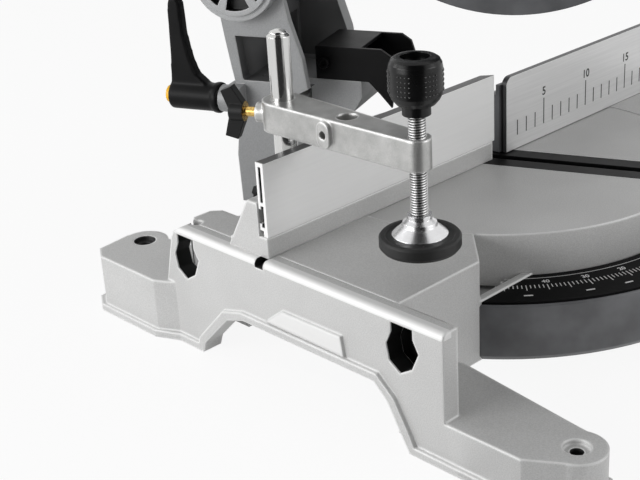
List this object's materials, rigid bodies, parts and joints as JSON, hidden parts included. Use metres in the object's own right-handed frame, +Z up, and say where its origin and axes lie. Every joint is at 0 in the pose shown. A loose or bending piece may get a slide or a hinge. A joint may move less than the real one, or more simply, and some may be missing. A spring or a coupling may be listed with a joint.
{
  "type": "mitre saw",
  "caption": "Compound mitre saw with a cast base and turntable, split fence, screw work clamp, tilting arm and a guarded blade head that chops down.",
  "frame": {"origin": "on the bench, at the centre of the four foot holes", "axes": "+X to the operator's right along the fence, +Y back from the operator, +Z up"},
  "size_m": [0.463, 0.4432, 0.5601],
  "materials": {
    "cast_light": "sand-cast aluminium, satin with a fine grain",
    "cast_grey": "cast aluminium, painted mid grey",
    "guard_grey": "dark grey paint, semi-matt",
    "black_plastic": "moulded black plastic, fine texture",
    "scale_black": "black plate with white graduations",
    "rubber": "black moulded rubber",
    "extrusion": "extruded aluminium, brushed",
    "bright_steel": "bright zinc plate",
    "post_steel": "turned steel, satin",
    "steel": "ground steel",
    "brass": "brass stem with a black moulded wing",
    "amber": "amber moulded plastic"
  },
  "bodies": {
    "base": {"base_casting": "cast_light", "left_end_casting": "cast_light", "right_end_casting": "cast_light", "scale_ring": "guard_grey", "mitre_scale": "scale_black", "mitre_pivot_bolt": "bright_steel", "left_fence_casting": "cast_light", "right_fence": "extrusion", "right_fence_backing": "guard_grey", "fence_screws": "bright_steel", "fence_lock_bolt": "bright_steel"},
    "clamp_stand": {"clamp_post": "post_steel"},
    "post_lock": {"post_lock_screw": "black_plastic"},
    "fence_slider": {"sliding_fence": "extrusion"},
    "fence_knob": {"fence_lock_knob": "black_plastic"},
    "clamp_carriage": {"clamp_arm": "cast_light"},
    "clamp_wing": {"wing_screw": "brass"},
    "clamp_shoe": {"clamp_foot": "bright_steel", "clamp_pad": "rubber"},
    "clamp_spindle": {"clamp_screw": "bright_steel", "clamp_knob": "black_plastic"},
    "turntable": {"turntable": "cast_light", "kerf_plates": "black_plastic", "detent_pin": "bright_steel", "bevel_pivot_bolt": "bright_steel"},
    "mitre_lock": {"mitre_lock_rod": "bright_steel", "mitre_lock_knob": "black_plastic"},
    "detent": {"detent_lever": "guard_grey"},
    "arm": {"bevel_arm": "cast_grey", "pivot_cap": "cast_grey", "chop_shaft": "bright_steel", "dust_deflector": "black_plastic"},
    "bevel_lock": {"bevel_lever": "black_plastic"},
    "bevel_button": {"lever_button": "amber"},
    "head_lock": {"head_lock_pin": "black_plastic"},
    "head": {"head_casting": "cast_grey", "guard_cover": "cast_grey", "gear_cover": "cast_grey", "bearings": "steel", "motor_housing": "black_plastic", "motor_cap": "black_plastic", "brush_caps": "black_plastic", "cord_gland": "black_plastic", "handle": "black_plastic"},
    "guard": {"lower_guard": "guard_grey"},
    "saw_blade": {"blade": "steel", "blade_flanges": "steel", "arbor_bolt": "bright_steel", "arbor_shaft": "steel", "driven_gear": "steel"},
    "rotor": {"armature": "steel"},
    "switch": {"trigger": "black_plastic"},
    "switch_lock": {"lock_off_button": "amber"},
    "arbor_lock": {"spindle_lock": "black_plastic"}
  },
  "joints": [
    {"name": "mitre_turn", "type": "hinge", "parent": "base", "child": "turntable", "pos_m": [0, 0.024, 0.082], "axis": [0, 0, -1], "range_deg": [-22.5, 67.5]},
    {"name": "mitre_lock_turn", "type": "hinge", "parent": "turntable", "child": "mitre_lock", "pos_m": [0.08113, -0.17186, 0.047], "axis": [0.3827, -0.9239, 0], "range_deg": [-360, 360]},
    {"name": "detent_press", "type": "hinge", "parent": "turntable", "child": "detent", "pos_m": [0.07194, -0.14969, 0.02], "axis": [0.9239, 0.3827, 0], "range_deg": [0, 6], "stiffness_Nm_per_rad": 2, "springref_deg": -8.59},
    {"name": "fence_slide", "type": "slide", "parent": "base", "child": "fence_slider", "axis": [-1, 0, 0], "range_m": [0, 0.08]},
    {"name": "fence_lock_turn", "type": "hinge", "parent": "base", "child": "fence_knob", "pos_m": [-0.11, 0.0375, 0.1079], "axis": [0, 1, 0], "range_deg": [-360, 360]},
    {"name": "post_drop", "type": "slide", "parent": "base", "child": "clamp_stand", "axis": [0, 0, -1], "range_m": [0, 0.0095]},
    {"name": "post_lock_turn", "type": "hinge", "parent": "base", "child": "post_lock", "pos_m": [-0.183, 0.0552, 0.104], "axis": [0, 1, 0], "range_deg": [-360, 360]},
    {"name": "clamp_height", "type": "slide", "parent": "clamp_stand", "child": "clamp_carriage", "axis": [0, 0, 1], "range_m": [-0.0095, 0.025]},
    {"name": "wing_screw_turn", "type": "hinge", "parent": "clamp_carriage", "child": "clamp_wing", "pos_m": [-0.183, 0.039, 0.161], "axis": [-0.454, 0.891, 0], "range_deg": [-360, 360]},
    {"name": "clamp_feed", "type": "slide", "parent": "clamp_carriage", "child": "clamp_shoe", "axis": [0, 0, 1], "range_m": [-0.0125, 0.025]},
    {"name": "clamp_screw_turn", "type": "hinge", "parent": "clamp_shoe", "child": "clamp_spindle", "pos_m": [-0.1839, -0.0687, 0.15], "axis": [0, 0, 1], "range_deg": [-3010, 6010]},
    {"name": "bevel_tilt", "type": "hinge", "parent": "turntable", "child": "arm", "pos_m": [-0.05549, 0.15796, 0.082], "axis": [0.3827, -0.9239, 0], "range_deg": [0, 45]},
    {"name": "bevel_lever_swing", "type": "hinge", "parent": "arm", "child": "bevel_lock", "pos_m": [-0.12084, 0.17202, 0.128], "axis": [0.3827, -0.9239, 0], "range_deg": [0, 60]},
    {"name": "bevel_button_press", "type": "slide", "parent": "bevel_lock", "child": "bevel_button", "axis": [0.3827, -0.9239, 0], "range_m": [0, 0.0035], "stiffness_N_per_m": 400, "springref_m": -0.002},
    {"name": "head_lock_pull", "type": "slide", "parent": "arm", "child": "head_lock", "axis": [0.9239, 0.3827, 0], "range_m": [0, 0.008]},
    {"name": "chop", "type": "hinge", "parent": "arm", "child": "head", "pos_m": [-0.06352, 0.17736, 0.216], "axis": [-0.9239, -0.3827, 0], "range_deg": [-36.8, 0], "stiffness_Nm_per_rad": 30, "springref_deg": 51.57},
    {"name": "guard_swing", "type": "hinge", "parent": "head", "child": "guard", "pos_m": [0.00231, 0.01843, 0.32602], "axis": [0.9239, 0.3827, 0], "range_deg": [-185, 0]},
    {"name": "blade_spin", "type": "hinge", "parent": "head", "child": "saw_blade", "pos_m": [0.00231, 0.01843, 0.32602], "axis": [0.9239, 0.3827, 0], "continuous": true},
    {"name": "rotor_spin", "type": "hinge", "parent": "head", "child": "rotor", "pos_m": [-0.01293, 0.05521, 0.36228], "axis": [0.9239, 0.3827, 0], "continuous": true},
    {"name": "trigger_pull", "type": "slide", "parent": "head", "child": "switch", "axis": [0.3224, -0.7783, 0.5388], "range_m": [0, 0.005], "stiffness_N_per_m": 400, "springref_m": -0.003},
    {"name": "lock_off_press", "type": "slide", "parent": "head", "child": "switch_lock", "axis": [0.2062, -0.4978, -0.8425], "range_m": [0, 0.0035], "stiffness_N_per_m": 400, "springref_m": -0.002},
    {"name": "spindle_lock_press", "type": "slide", "parent": "head", "child": "arbor_lock", "axis": [-0.3224, 0.7783, -0.5388], "range_m": [0, 0.003], "stiffness_N_per_m": 400, "springref_m": -0.002}
  ],
  "couplings": [
    {"joint": "clamp_screw_turn", "follows": "clamp_feed", "rad_per_m": 4188.8},
    {"joint": "guard_swing", "follows": "chop", "ratio": 5},
    {"joint": "rotor_spin", "follows": "blade_spin", "ratio": -4}
  ]
}
